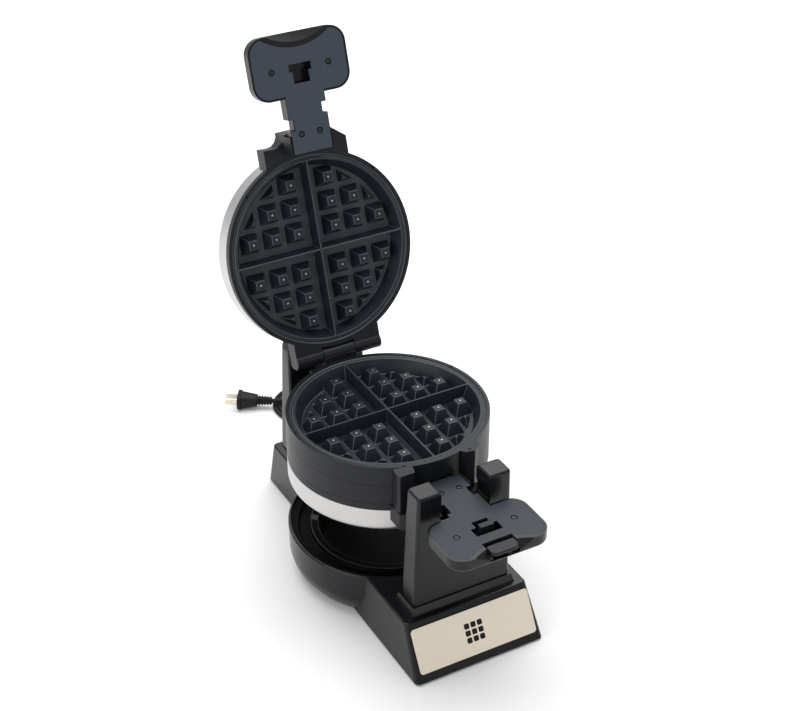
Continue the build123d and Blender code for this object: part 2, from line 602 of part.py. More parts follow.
def hinge_bracket():
    """Two-armed bracket on the back of a lid, turning on the hinge pin."""
    z0 = RING_H + BODY_GAP
    with BuildPart() as piece:
        add(block(-BRACKET_X, BRACKET_X, 88, HINGE_Y, z0, z0 + 17))
        for x0, x1 in ((-BRACKET_X, -KNUCKLE_X - 0.5), (KNUCKLE_X + 0.5, BRACKET_X)):
            add(cross_pin(BARREL_R, x0, x1, HINGE_Y, HINGE_H))
            add(block(x0, x1, HINGE_Y - 2, HINGE_Y + BARREL_R, HINGE_H, z0 + 17))
        add(block(-KNUCKLE_X - 0.5, KNUCKLE_X + 0.5, 100, 140, -9, HINGE_H + BARREL_R + BODY_GAP),
            mode=Mode.SUBTRACT)
        fillet(piece.edges().filter_by(Axis.X).filter_by(lambda e: abs(e.center().Z - z0 - 17) < 0.1
                                                         and e.center().Y > HINGE_Y), radius=5)
        add(disc(DRUM_R + SEAT_GAP, -9, 99), mode=Mode.SUBTRACT)
        add(cross_pin(PIN_R + 0.1, -46.5, 46.5, HINGE_Y, HINGE_H), mode=Mode.SUBTRACT)
        for s in (-1, 1):
            add(disc(1.45, z0 - 1, z0 + 12, s * 41, 102), mode=Mode.SUBTRACT)
            add(disc(3.1, z0 - 1, z0 + 1.15, s * 41, 102), mode=Mode.SUBTRACT)
    return piece.part


def lid_band():
    z0 = RING_H + BODY_GAP
    z1 = RING_H + BAND_H
    with BuildPart() as piece:
        add(ring(DRUM_R, DRUM_R - RING_WALL, z0, z1))
        seat = z0 + PLATE_SINK + 4 + SEAT_GAP
        add(ring(DRUM_R - RING_WALL, DRUM_R - RING_WALL - 2.5, seat, seat + 2.8))
        for i in range(4):
            a = radians(45 + 90 * i)
            add(disc(1.0, z0 - 1, z0 + 6, 103.2 * cos(a), 103.2 * sin(a)), mode=Mode.SUBTRACT)
    return piece.part


def lid_cover():
    z0 = RING_H + BAND_H + SEAT_GAP
    z1 = RING_H + BAND_H + COVER_H
    with BuildPart() as piece:
        with BuildSketch(Plane.XY.offset(z0)):
            Circle(DRUM_R)
        extrude(amount=z1 - z0)
        fillet(piece.edges().filter_by(lambda e: abs(e.center().Z - z1) < 0.1), radius=COVER_EDGE)
        offset(amount=-COVER_WALL, openings=piece.faces().sort_by(Axis.Z)[0])
    return piece.part


def reflector():
    z = RING_H + 25.5
    with BuildPart() as piece:
        add(disc(92, z, z + 0.8))
        add(ring(92, 91.2, z - 6.2, z + 0.5))
    return piece.part


lid_plate_z = RING_H + BODY_GAP + PLATE_SINK
lid_back = lid_plate_z + plate_back
open_axis = Location((0, HINGE_Y, HINGE_H + AXIS_Z))
TOP_PLACE = (open_axis * Location((0, 0, 0), (-LID_OPEN, 0, 0)) * Location((0, -HINGE_Y, -HINGE_H)))
BOTTOM_PLACE = Location((0, 0, AXIS_Z), (0, 180, 0))

for lid, place in (("top", TOP_PLACE), ("bottom", BOTTOM_PLACE)):
    low = BODY_GAP / 2
    pieces = {
        "cover": lid_cover(),
        "band": lid_band(),
        "waffle_plate": plate.moved(Location((0, 0, lid_plate_z), (0, 180, 0))),
        "heater": heater(62, 3.0, lid_back + 3.05, 30),
        "reflector": reflector(),
        "thermostat": disc(9, lid_back + 0.05, lid_back + 6.5, 0, 12),
        "hinge_bracket": hinge_bracket(),
        "front_bracket": front_bracket(),
        "handle_shell": handle_shell(lid),
        "handle_plate": handle_plate(lid),
        "handle_screws": screws([(s * x, y) for s in (-1, 1) for x, y in (GRIP_SCREW, NECK_SCREW)],
                                low + 0.2, head_r=3.0, head_t=0.8, shank_r=1.4, length=-10),
        "hinge_screws": screws([(-41, 102), (41, 102)], RING_H + BODY_GAP + 0.2, head_r=2.9, head_t=0.9,
                               shank_r=1.4, length=-9),
    }
    for name, shape in pieces.items():
        keep(f"{lid}_{name}", place * shape)

# ---- latch in the lower handle ------------------------------------------------------
LATCH_Z = HANDLE_T - 3.4
HOOK_Y = (-197.2, -190.8)
LATCH_STROKE = 4.0      # the spring is drawn pressed together, clear of the whole stroke
with BuildPart() as latch:
    add(block(-15.2, 15.2, -232.5, -218.5, 0.1, 3.6))
    fillet(latch.edges().filter_by(Axis.Z).sort_by(Axis.Y)[:2], radius=6)
    fillet(latch.edges().filter_by(Axis.Z).sort_by(Axis.Y)[-2:], radius=2)
    fillet(latch.edges().filter_by(lambda e: abs(e.center().Z - 0.1) < 0.01), radius=1.2)
    add(block(-7, 7, -224, -218.6, 2.5, LATCH_Z - 0.8))
    add(block(-7, 7, -221, HOOK_Y[1], 4.5, LATCH_Z - 0.8))
    add(block(-7.2, 7.2, *HOOK_Y, -4.3, LATCH_Z - 0.8))
keep("release_latch", BOTTOM_PLACE * latch.part)

with BuildPart() as spring:
    with BuildLine():
        wind = Helix(pitch=1.1, height=4.4, radius=2.0)
    with BuildSketch(Plane(origin=wind @ 0, z_dir=wind % 0)):
        Circle(0.35)
    sweep(is_frenet=True)
spring_place = BOTTOM_PLACE * Location((0, HOOK_Y[1] + LATCH_STROKE + 0.6, 7.2), (-90, 0, 0))
keep("latch_spring", spring_place * spring.part)

# ---- drip tray ----------------------------------------------------------------------
with BuildPart() as tray:
    with BuildSketch(Plane.XZ):
        z = RECESS_Z + BODY_GAP
        r = RECESS_R - 0.6
        with BuildLine():
            Polyline((0, z), (TRAY_RING[0] + 0.2, z), (TRAY_RING[0] + 1.8, 47.8), (TRAY_RING[1] - 1.6, 47.8),
                     (TRAY_RING[1] - 0.2, 43.8), (97, 43.8), (98.2, 48.4), (r, 52.0), (r, 54.4), (r - 1.4, 54.4),
                     (96.3, 50.2), (95, 46), (TRAY_RING[1] + 1.5, 46), (TRAY_RING[1], 50), (TRAY_RING[0], 50),
                     (TRAY_RING[0] - 1.8, z + 2), (0, z + 2), close=True)
        make_face()
    revolve(axis=Axis.Z)
keep("drip_tray", tray.part)

# ---- wiring in the base and the power cord -------------------------------------------
with BuildPart() as terminals:
    add(block(-16, 16, 118, 132, FLOOR_Z + BOTTOM_T + 0.1, 20))
    for x in (-9, 0, 9):
        add(disc(2.6, 14, 21, x, 125), mode=Mode.SUBTRACT)
keep("terminal_block", terminals.part)

gx, gy, gz = GLAND
with BuildPart() as gland:
    add(shaft(5.5, gy - 8, gy + 4, gz, gx))
    add(shaft(8, gy - 9, gy - 5.5, gz, gx))
    relief_end = gy + 30
    with BuildSketch(Plane(origin=(gx, gy + 3, gz), x_dir=(1, 0, 0), z_dir=(0, 1, 0))):
        Circle(6)
    with BuildSketch(Plane(origin=(gx, relief_end, gz), x_dir=(1, 0, 0), z_dir=(0, 1, 0))):
        Circle(3.8)
    loft()
keep("cord_gland", gland.part)

cord_r = CORD_D / 2
cx, cy = COIL_AT
outer_turn = COIL_IN + COIL_PITCH * COIL_TURNS
LEAD = [(gx, relief_end, gz), (gx, 227, 21), (22, 241, 9), (32, 257, cord_r), (cx, cy - outer_turn, cord_r)]
aim = Vector(cos(radians(PLUG_AIM)), sin(radians(PLUG_AIM)), 0)
px, py, pz = PLUG_END
TAIL = [(px, py, pz), (px - 9 * aim.X, py - 9 * aim.Y, 9.6), (29, 319.6, 9.2), (39, 325.5, 6.5),
        (cx - 1.5, cy + COIL_IN, cord_r)]


def cord(points, name):
    """Plain tube along straight runs with tangent arcs as large as the runs allow."""
    spots = [Vector(*p) for p in points]
    radii = []
    for a, b, c in zip(spots, spots[1:], spots[2:]):
        turn = radians((b - a).get_angle(c - b))
        radii.append(0.45 * min((b - a).length, (c - b).length) / tan(turn / 2))
    with BuildPart() as piece:
        with BuildLine() as route:
            FilletPolyline(*spots, radius=radii)
        start = route.wire() @ 0
        with BuildSketch(Plane(origin=start, z_dir=route.wire() % 0)):
            Circle(cord_r)
        sweep(path=route.wire())
    length = route.wire().length
    print(name, "radii", [round(r, 1) for r in radii], "length", round(length, 1),
          "volume share", round(piece.part.volume / (pi * cord_r ** 2 * length), 4))
    keep(name, piece.part)


cord(LEAD, "power_cord")
cord(TAIL, "cord_tail")
keep("cord_coil", ring(outer_turn + cord_r, COIL_IN - cord_r, 0, CORD_D).moved(Location((cx, cy, 0))))

plug_plane = Plane(origin=(px, py, pz), x_dir=(-aim.Y, aim.X, 0), z_dir=(aim.X, aim.Y, 0))
with BuildPart() as plug:
    with BuildSketch(plug_plane):
        Circle(4.2)
    with BuildSketch(plug_plane.offset(18.5)):
        Circle(5.2)
    loft()
    with BuildSketch(plug_plane.offset(18)):
        RectangleRounded(16, 12, 5)
    with BuildSketch(plug_plane.offset(38)):
        RectangleRounded(22, 17, 6)
    loft()
    with BuildSketch(plug_plane.offset(37.5)):
        RectangleRounded(27, 19, 8)
    extrude(amount=4)
keep("plug_body", plug.part)
with BuildPart() as blades:
    for x in (-6.35, 6.35):
        with BuildSketch(plug_plane.offset(41.6)):
            with Locations((x, 0)):
                Rectangle(1.5, 6.3)
        extrude(amount=16)
keep("plug_blades", blades.part)
print(len(PARTS), "nodes")
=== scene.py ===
import json
import math
from math import cos, pi, radians, sin

import bpy
from mathutils import Matrix, Vector


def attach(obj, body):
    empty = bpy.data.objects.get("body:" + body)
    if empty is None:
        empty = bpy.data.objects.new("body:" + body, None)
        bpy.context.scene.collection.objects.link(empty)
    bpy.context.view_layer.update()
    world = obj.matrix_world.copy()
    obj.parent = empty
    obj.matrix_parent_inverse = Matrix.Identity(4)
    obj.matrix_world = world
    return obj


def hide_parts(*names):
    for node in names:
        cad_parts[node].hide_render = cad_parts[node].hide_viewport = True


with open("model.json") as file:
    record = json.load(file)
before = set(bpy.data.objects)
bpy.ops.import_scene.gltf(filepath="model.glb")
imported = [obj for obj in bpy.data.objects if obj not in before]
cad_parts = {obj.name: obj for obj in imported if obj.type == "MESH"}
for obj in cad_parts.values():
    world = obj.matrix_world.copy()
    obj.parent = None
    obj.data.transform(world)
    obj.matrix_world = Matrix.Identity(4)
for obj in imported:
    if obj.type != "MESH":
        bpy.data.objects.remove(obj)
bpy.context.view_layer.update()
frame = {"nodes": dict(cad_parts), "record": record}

MM = 0.001
scene = bpy.context.scene
bpy.ops.object.select_all(action="DESELECT")

# The camera looks down over the handles from the front left, as across a kitchen table.
STANDS_AT = (-0.67969, -1.25375, 1.16114)
LOOKS_DOWN, TURNED_RIGHT = radians(32.37), radians(28.97)
bpy.ops.object.camera_add(location=STANDS_AT, rotation=(pi / 2 - LOOKS_DOWN, 0, -TURNED_RIGHT))
camera = bpy.context.object
camera.data.lens = 75.54
camera.data.sensor_width = 36.0
scene.camera = camera

# The power cord: rubber-sheathed twin flex, 5.4 mm thick. It leaves the sleeve at the back of
# the base, falls to the table, lies in a flat coil and ends in its plug, left of the coil.
CORD_D = 5.4 * MM
cord_z = CORD_D / 2
coil_at = Vector((50.5, 303.5)) * MM
coil_in = 24.0 * MM
coil_pitch = 5.5 * MM
coil_turns = 3.50
steps = 16


def lead(*points):
    return [Vector(p) * MM for p in points]


route = lead((20, 214.5, 22), (20, 227, 21), (22, 241, 9), (32, 257, 2.7))
for step in range(int(coil_turns * steps)):
    angle = radians(-90) + 2 * pi * step / steps
    r = coil_in + coil_pitch * (coil_turns - step / steps)
    route.append(Vector((coil_at.x + r * cos(angle), coil_at.y + r * sin(angle), cord_z)))
route += lead((49, 327.5, 2.9), (39, 325.5, 6.5), (29, 319.6, 9.2), (19.5, 316.1, 9.6), (12, 321, 9.6))
line = bpy.data.curves.new("power_lead", "CURVE")
line.dimensions = "3D"
line.bevel_depth = cord_z
line.bevel_resolution = 5
line.resolution_u = 8
line.use_fill_caps = True
spline = line.splines.new("NURBS")
spline.points.add(len(route) - 1)
for point, place in zip(spline.points, route):
    point.co = (*place, 1.0)
spline.order_u = 3
spline.use_endpoint_u = True
power_lead = bpy.data.objects.new("power_lead", line)
scene.collection.objects.link(power_lead)


# Every finish is a small tree of nodes: Paint holds the material, Field a value in it.
class Field:
    """A value that runs through a material; sums and products of it add Math nodes."""

    def __init__(self, paint, socket):
        self.paint, self.socket = paint, socket

    def maths(self, operation, first, second):
        return self.paint.node("ShaderNodeMath", {"operation": operation}, {0: first, 1: second})

    def __add__(self, other):
        return self.maths("ADD", self, other)

    def __mul__(self, other):
        return self.maths("MULTIPLY", self, other)

    __radd__ = __add__
    __rmul__ = __mul__


class Paint:
    """A finish under construction."""

    def __init__(self, name, **surface):
        self.material = bpy.data.materials.new(name)
        self.material.use_nodes = True
        self.tree = self.material.node_tree
        self.bsdf = self.tree.nodes["Principled BSDF"]
        self.set(**surface)

    def feed(self, socket, value):
        if isinstance(value, Field):
            self.tree.links.new(value.socket, socket)
        elif hasattr(value, "__len__") and len(value) == 3 and socket.type == "RGBA":
            socket.default_value = (*value, 1.0)
        else:
            socket.default_value = value

    def node(self, kind, settings=None, sockets=None, out=0):
        made = self.tree.nodes.new(kind)
        for name, value in (settings or {}).items():
            setattr(made, name, value)
        for name, value in (sockets or {}).items():
            self.feed(made.inputs[name], value)
        return Field(self, made.outputs[out])

    def place(self, scale=(1, 1, 1), turn=(0, 0, 0)):
        here = self.node("ShaderNodeTexCoord", out="Object")
        return self.node("ShaderNodeMapping", None, {"Vector": here, "Scale": scale, "Rotation": turn})

    def noise(self, size, detail=3.0, scale=(1, 1, 1), turn=(0, 0, 0), rough=0.5):
        """Soft noise, 0 to 1, whose blotches are about size metres across."""
        return self.node("ShaderNodeTexNoise", None,
                         {"Vector": self.place(scale, turn), "Scale": 1 / size, "Detail": detail,
                          "Roughness": rough})

    def between(self, mask, dark, light):
        return self.node("ShaderNodeMix", {"data_type": "RGBA"}, {0: mask, 6: dark, 7: light}, out=2)

    def bump(self, height, depth):
        made = self.node("ShaderNodeBump", None, {"Height": height, "Strength": 1.0, "Distance": depth})
        self.feed(self.bsdf.inputs["Normal"], made)

    def set(self, **surface):
        for name, value in surface.items():
            self.feed(self.bsdf.inputs[name.replace("_", " ")], value)


def moulded(name, colour, rough, grain, depth, shine):
    """Moulded plastic: an even colour that varies a little, with a fine grain."""
    paint = Paint(name, Specular_IOR_Level=shine)
    drift = paint.noise(0.05, 4)
    fine = paint.noise(grain, 2)
    lighter = tuple(min(1.0, c * 1.3) for c in colour)
    paint.set(Base_Color=paint.between(drift, colour, lighter),
              Roughness=rough - 0.06 + 0.12 * drift)
    paint.bump(fine, depth)
    return paint.material


rubber = moulded("soft_rubber", (0.005, 0.005, 0.0055), 0.60, 0.0005, 0.00005, shine=0.25)


def wear(piece, material):
    """Give a piece one finish all over."""
    piece.data.materials.clear()
    piece.data.materials.append(material)
    if piece.type == "MESH":
        for face in piece.data.polygons:
            face.material_index = 0


def finish(material, *nodes):
    """Give CAD nodes that are shown as they are their finish."""
    for node in nodes:
        wear(frame["nodes"][node], material)


def chosen(piece):
    """Select one piece and nothing else."""
    bpy.ops.object.select_all(action="DESELECT")
    piece.select_set(True)
    bpy.context.view_layer.objects.active = piece


def modify(piece, kind, **settings):
    """Add a modifier, set it and apply it."""
    chosen(piece)
    modifier = piece.modifiers.new(kind.lower(), kind)
    for name, value in settings.items():
        setattr(modifier, name, value)
    bpy.ops.object.modifier_apply(modifier=modifier.name)


def settle(piece, place=Matrix()):
    """Put a piece in its place by moving its mesh, which leaves the object at the origin."""
    chosen(piece)
    bpy.ops.object.transform_apply(location=True, rotation=True, scale=True)
    piece.data.transform(place)
    return piece


def copies(master, places, name):
    """The master once at every place, joined into one object; the master itself goes."""
    made = []
    for place in places:
        piece = bpy.data.objects.new(name, master.data.copy())
        scene.collection.objects.link(piece)
        piece.data.transform(place)
        made.append(piece)
    bpy.data.objects.remove(master)
    chosen(made[0])
    for piece in made[1:]:
        piece.select_set(True)
    bpy.ops.object.join()
    return made[0]


# The plug: a rubber body moulded onto the cord, with a collar and a ribbed sleeve that lets the
# cord bend, and two flat blades of plated brass.
def plain_metal(name, colour, rough):
    paint = Paint(name, Metallic=1.0)
    drift = paint.noise(0.01, 4)
    paint.set(Base_Color=paint.between(drift, tuple(c * 0.85 for c in colour), colour),
              Roughness=rough - 0.05 + 0.1 * drift)
    return paint.material


blade_brass = plain_metal("blade_brass", (0.72, 0.66, 0.55), 0.25)
finish(blade_brass, "plug_blades")
finish(rubber, "plug_body", "cord_gland")
plug_end = route[-1]
plug_aim = Vector((cos(radians(147)), sin(radians(147)), 0))
along_plug = Matrix.Translation(plug_end) @ plug_aim.to_track_quat("Z", "Y").to_matrix().to_4x4()
bpy.ops.mesh.primitive_cylinder_add(vertices=32, radius=6.3 * MM, depth=2.0 * MM)
rib = settle(bpy.context.object)
modify(rib, "BEVEL", width=0.8 * MM, segments=4, limit_method="ANGLE", angle_limit=radians(40))
chosen(rib)
bpy.ops.object.shade_smooth_by_angle(angle=radians(50))
first_rib, rib_pitch, collar_at = 1.2 * MM, 3.5 * MM, 19.6 * MM
rib_places = [along_plug @ Matrix.Translation((0, 0, first_rib + rib_pitch * step))
              @ Matrix.Scale(0.86 + 0.03 * step, 4) for step in range(5)]
collar = along_plug @ Matrix.Translation((0, 0, collar_at)) @ Matrix.Diagonal((1.42, 1.12, 1.3, 1))
ribs = copies(rib, [*rib_places, collar], "plug_ribs")
wear(ribs, rubber)
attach(ribs, "root")

# The cord's sheath is the same rubber as the plug, from the sleeve in the base to the plug.
wear(power_lead, rubber)
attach(power_lead, "root")
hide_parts("power_cord", "cord_coil", "cord_tail")

# The base: one glossy black moulding, a round tray well between two wedges, with every edge
# rounded by the mould.
black_gloss = moulded("black_gloss", (0.0045, 0.005, 0.0062), 0.25, 0.0006, 0.00001, shine=0.30)


def body_of(node):
    """The moving body that a CAD node belongs to."""
    bodies = frame["record"]["behaviour"]["bodies"]
    return next(body for body, members in bodies.items() if node in members)


def stand_for(piece, node):
    """The piece takes over from a CAD node: its body and place."""
    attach(piece, body_of(node))
    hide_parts(node)


def copy_of(node, suffix):
    """The node's own mesh as a piece, merged into clean faces and open in edit mode."""
    source = frame["nodes"][node]
    piece = bpy.data.objects.new(node + suffix, source.data.copy())
    scene.collection.objects.link(piece)
    chosen(piece)
    bpy.ops.mesh.customdata_custom_splitnormals_clear()
    bpy.ops.object.mode_set(mode="EDIT")
    bpy.ops.mesh.select_all(action="SELECT")
    bpy.ops.mesh.remove_doubles(threshold=0.002 * MM)
    bpy.ops.mesh.dissolve_limited(angle_limit=radians(0.6))
    return piece


def pick_edges(piece, test):
    """Select, in edit mode, the sharp edges whose lower and upper end pass the test."""
    bpy.ops.mesh.select_mode(type="EDGE")
    bpy.ops.mesh.select_all(action="DESELECT")
    bpy.ops.mesh.edges_select_sharp(sharpness=radians(20))
    bpy.ops.object.mode_set(mode="OBJECT")
    points = [vertex.co for vertex in piece.data.vertices]
    picked = set()
    for edge in piece.data.edges:
        low, high = sorted((points[i] for i in edge.vertices), key=lambda point: point.z)
        edge.select = edge.select and test(low, high)
        if edge.select:
            picked.update(edge.vertices)
    for vertex in piece.data.vertices:
        vertex.select = vertex.index in picked
    for face in piece.data.polygons:
        face.select = False
    bpy.ops.object.mode_set(mode="EDIT")


def from_mould(piece, node, material, width, angle=28):
    """Out of edit mode: the last sharp edges get their small rounding, and the piece its finish."""
    bpy.ops.object.mode_set(mode="OBJECT")
    modify(piece, "BEVEL", width=width, segments=2, limit_method="ANGLE",
           angle_limit=radians(angle), use_clamp_overlap=True, miter_outer="MITER_ARC")
    chosen(piece)
    bpy.ops.object.shade_smooth_by_angle(angle=radians(32))
    modify(piece, "WEIGHTED_NORMAL", keep_sharp=True)
    wear(piece, material)
    stand_for(piece, node)
    return piece


def softened(material, *nodes, width):
    """Mouldings whose every sharp edge is rounded alike."""
    finish(material, *nodes)
    return [from_mould(copy_of(node, "_moulding"), node, material, width) for node in nodes]


softened(black_gloss, "base_shell", width=0.5 * MM)

# Under the base: a black plate screwed to its bosses, with seven rubber feet.
black_satin = moulded("black_satin", (0.007, 0.008, 0.010), 0.42, 0.0005, 0.00004, shine=0.28)
screw_black = moulded("screw_black", (0.004, 0.004, 0.0045), 0.42, 0.0003, 0.00002, shine=0.30)
finish(black_satin, "base_floor_plate")
finish(rubber, "rubber_feet")
finish(screw_black, "base_screws", "tower_screws")

# The front plate: thin brushed aluminium, anodised champagne, glued to the sloping front.
def brushed(name, dark, light, rough, scale, turn=(0, 0, 0)):
    """Rolled sheet with fine brush lines across the short direction of scale."""
    paint = Paint(name, Metallic=1.0)
    lines = paint.noise(0.0009, 3, scale, turn, 0.7)
    drift = paint.noise(0.08, 3)
    paint.set(Base_Color=paint.between(lines * 0.6 + drift * 0.4, dark, light),
              Roughness=rough - 0.08 + 0.2 * lines)
    paint.bump(lines, 0.00002)
    return paint.material


badge_metal = brushed("badge_metal", (0.80, 0.71, 0.58), (0.99, 0.91, 0.78), 0.42, (0.02, 1, 1))
softened(badge_metal, "front_plate", width=0.3 * MM)

# The mark on it: nine small squares with rounded corners, printed in black.
slope_rise, slope_run = 54 * MM, 30 * MM
plate_middle = (0, -0.18004, 0.03107)
badge = Matrix.Translation(plate_middle) @ Matrix.Rotation(math.atan2(slope_rise, slope_run), 4, "X")
square_side, square_pitch, ink = 5.6 * MM, 7.4 * MM, 0.2 * MM
bpy.ops.mesh.primitive_cube_add(size=1, scale=(square_side, square_side, ink))
square = settle(bpy.context.object)
bpy.ops.object.mode_set(mode="EDIT")
pick_edges(square, lambda low, high: high.z - low.z > 0.1 * MM)
bpy.ops.mesh.bevel(offset=1.2 * MM, segments=4, affect="EDGES")
bpy.ops.object.mode_set(mode="OBJECT")
mark = copies(square, [badge @ Matrix.Translation((column * square_pitch, row * square_pitch, 0))
                       for column in (-1, 0, 1) for row in (-1, 0, 1)], "front_mark")
wear(mark, rubber)
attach(mark, "root")

# The drip tray: a loose black dish in the well of the base. It is pressed with a flat ring, whose
# upward face is painted a lighter grey than the rest, as painted light.
# A near-black for the tray, also used as painted shade in the handles' finger hollow.
tray_black_and_hollow_shade = moulded("tray_black_and_hollow_shade", (0.0012, 0.0012, 0.0015), 0.40, 0.0006, 0.00002, shine=0.10)
# A lighter grey for the ring's upward face: painted light.
ring_top_painted_light = moulded("ring_top_painted_light", (0.055, 0.055, 0.058), 0.45, 0.0006, 0.00002, shine=0.30)
RING = (75 * MM, 83 * MM)
tray, = softened(tray_black_and_hollow_shade, "drip_tray", width=0.8 * MM)
tray.data.materials.append(ring_top_painted_light)
for face in tray.data.polygons:
    across = math.hypot(face.center.x, face.center.y)
    face.material_index = int(RING[0] < across < RING[1] and face.normal.z > 0.9)

# The front tower: a hollow black moulding screwed to the base, whose two prongs hold the neck of
# the drum in a rubber-lined slot. Its upright edges and its tops are well rounded.
prong_tops, long_upright = 190 * MM, 50 * MM
finish(black_gloss, "front_tower")
finish(rubber, "neck_saddle")
tower = copy_of("front_tower", "_moulding")
pick_edges(tower, lambda low, high: low.z > prong_tops or high.z - low.z > long_upright)
bpy.ops.mesh.bevel(offset=2.2 * MM, segments=5, affect="EDGES", clamp_overlap=True)
from_mould(tower, "front_tower", black_gloss, 0.4 * MM, angle=40)

# The rear tower: the same, with two caps that close over the bearing of the drum's hollow shaft.
# Inside are the bronze bush, its clamp and the block where the wires end.
softened(black_gloss, "rear_tower", width=1.0 * MM)
softened(black_gloss, "rear_tower_caps", width=1.2 * MM)
bearing_bronze = plain_metal("bearing_bronze", (0.60, 0.42, 0.22), 0.35)
finish(bearing_bronze, "rear_bush")
finish(black_satin, "bearing_clamp", "terminal_block", "hub", "hub_retainer")
finish(screw_black, "rear_cap_screws")

# The drum: two black rings, screwed rim to rim, that hold the middle waffle plates.
softened(black_satin, "middle_upper_ring", "middle_lower_ring", width=0.4 * MM)
finish(screw_black, "rim_screws")

# Each lid: a black band and a spun steel cover, brushed round and lacquered.
LID_OPEN = radians(108)
STEEL = ((0.47, 0.46, 0.45), (0.66, 0.65, 0.63), 0.34, (0.02, 0.02, 1))
lower_steel = brushed("lower_steel", *STEEL)
upper_steel = brushed("upper_steel", *STEEL, (LID_OPEN, 0, 0))
finish(lower_steel, "bottom_cover")
finish(upper_steel, "top_cover")
softened(black_satin, "top_band", "bottom_band", width=0.4 * MM)

# The hinges: black brackets on the lids and knuckles on the drum, on bright steel pins.
bright_steel = plain_metal("bright_steel", (0.62, 0.62, 0.61), 0.3)
softened(black_satin, "top_hinge_bracket", "bottom_hinge_bracket", width=1.2 * MM)
softened(black_satin, "upper_knuckle", width=0.3 * MM)
finish(black_satin, "lower_knuckle")
finish(bright_steel, "upper_hinge_pin", "lower_hinge_pin")
finish(screw_black, "top_hinge_screws", "bottom_hinge_screws")

# The handles: each lid has a glossy shell, screwed through a matt grey inner plate to the front
# bracket. The upper plate is the same grey, painted lighter as painted light. A finger fits in the
# hollow in front, whose faces are painted darker and duller as painted shade.
grey_matt = moulded("grey_matt", (0.016, 0.0215, 0.030), 0.50, 0.0004, 0.00004, shine=0.32)
# A lighter copy of the grey plate material for the upper plate: painted light.
grey_painted_light = moulded("grey_painted_light", (0.034, 0.044, 0.058), 0.50, 0.0004, 0.00004, shine=0.36)
softened(grey_painted_light, "top_handle_plate", width=0.4 * MM)
softened(grey_matt, "bottom_handle_plate", width=0.4 * MM)
softened(black_satin, "top_front_bracket", "bottom_front_bracket", width=1.2 * MM)
shell, _ = softened(black_gloss, "top_handle_shell", "bottom_handle_shell", width=0.5 * MM)
finish(screw_black, "top_handle_screws", "bottom_handle_screws")

# Where the pieces of a lid go: they are drawn closed, with height counted from the flip axis.
FLIP_AXIS, HINGE_Y, HINGE_UP = 0.172, 0.1135, 0.028
TOP = (Matrix.Translation((0, HINGE_Y, FLIP_AXIS + HINGE_UP)) @ Matrix.Rotation(-LID_OPEN, 4, "X")
       @ Matrix.Translation((0, -HINGE_Y, -HINGE_UP)))
turned = Matrix.Rotation(pi, 4, "Y")
BOTTOM = Matrix.Translation((0, 0, FLIP_AXIS)) @ turned
ball_centre = TOP @ Vector((0, -281.87 * MM, -46.6 * MM))
ball_r = 77.6 * MM
# The faces of the finger hollow get the tray's darker, duller black: painted shade in the hollow.
shell.data.materials.append(tray_black_and_hollow_shade)
for face in shell.data.polygons:
    face.material_index = int(abs((face.center - ball_centre).length - ball_r) < 0.25 * MM)

# The latch: a satin black slide in the lower handle, with a spring behind it and a hook that
# catches the upper handle.
softened(black_satin, "release_latch", width=0.8 * MM)
finish(bright_steel, "latch_spring")

# The screws of the handles and the hinges: black cross-headed screws, each sunk in its seat, shown by a
# dark ring of painted shade round the head and a dark cross of painted shade for its recess.
# A dull near-black for the ring round each head and the cross in it: painted shade in the recess.
recess_shade = moulded("recess_shade", (0.0012, 0.0012, 0.0014), 0.7, 0.0003, 0.00002, shine=0.05)
head_grey = moulded("head_grey", (0.022, 0.024, 0.027), 0.30, 0.0003, 0.00002, shine=0.5)
HEAD_R, SHADE_RING_R = 2.2 * MM, 3.2 * MM


def screw_part(radius, low, high, rounding=0.0):
    """A round part of the screw, between two heights, its edges rounded if asked."""
    bpy.ops.mesh.primitive_cylinder_add(vertices=32, radius=radius, depth=high - low,
                                        location=(0, 0, (low + high) / 2))
    part = settle(bpy.context.object)
    if rounding:
        modify(part, "BEVEL", width=rounding, segments=3, limit_method="ANGLE", angle_limit=radians(40))
    chosen(part)
    bpy.ops.object.shade_smooth_by_angle(angle=radians(35))
    return part


def cross_bar(angle):
    """One bar of the cross in the head, a thin bar that is given the dark painted shade of the recess.
    """
    bpy.ops.mesh.primitive_cube_add(size=1, location=(0, 0, -0.46 * MM), rotation=(0, 0, radians(angle)),
                                    scale=(1.3 * HEAD_R, 0.24 * HEAD_R, 0.12 * MM))
    return settle(bpy.context.object)


screw_spots = [Matrix.Translation(Vector((side * x, y, z)) * MM) for side in (-1, 1)
               for x, y, z in ((31.8, -193.5, 0.60), (10.3, -127.0, 0.60), (41, 102, 22.95))]
for lid, place in (("top", TOP), ("bottom", BOTTOM)):
    spots = [place @ spot for spot in screw_spots]
    for part, name, material in (
            (screw_part(SHADE_RING_R, -0.38 * MM, -0.30 * MM), "_screw_seat_shade", recess_shade),
            (screw_part(HEAD_R, -0.45 * MM, 0, 0.25 * MM), "_screw_heads", head_grey),
            (cross_bar(20), "_screw_slot_shade", recess_shade),
            (cross_bar(110), "_screw_cross_slot_shade", recess_shade)):
        piece = copies(part, spots, lid + name)
        wear(piece, material)
        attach(piece, lid + "_lid")

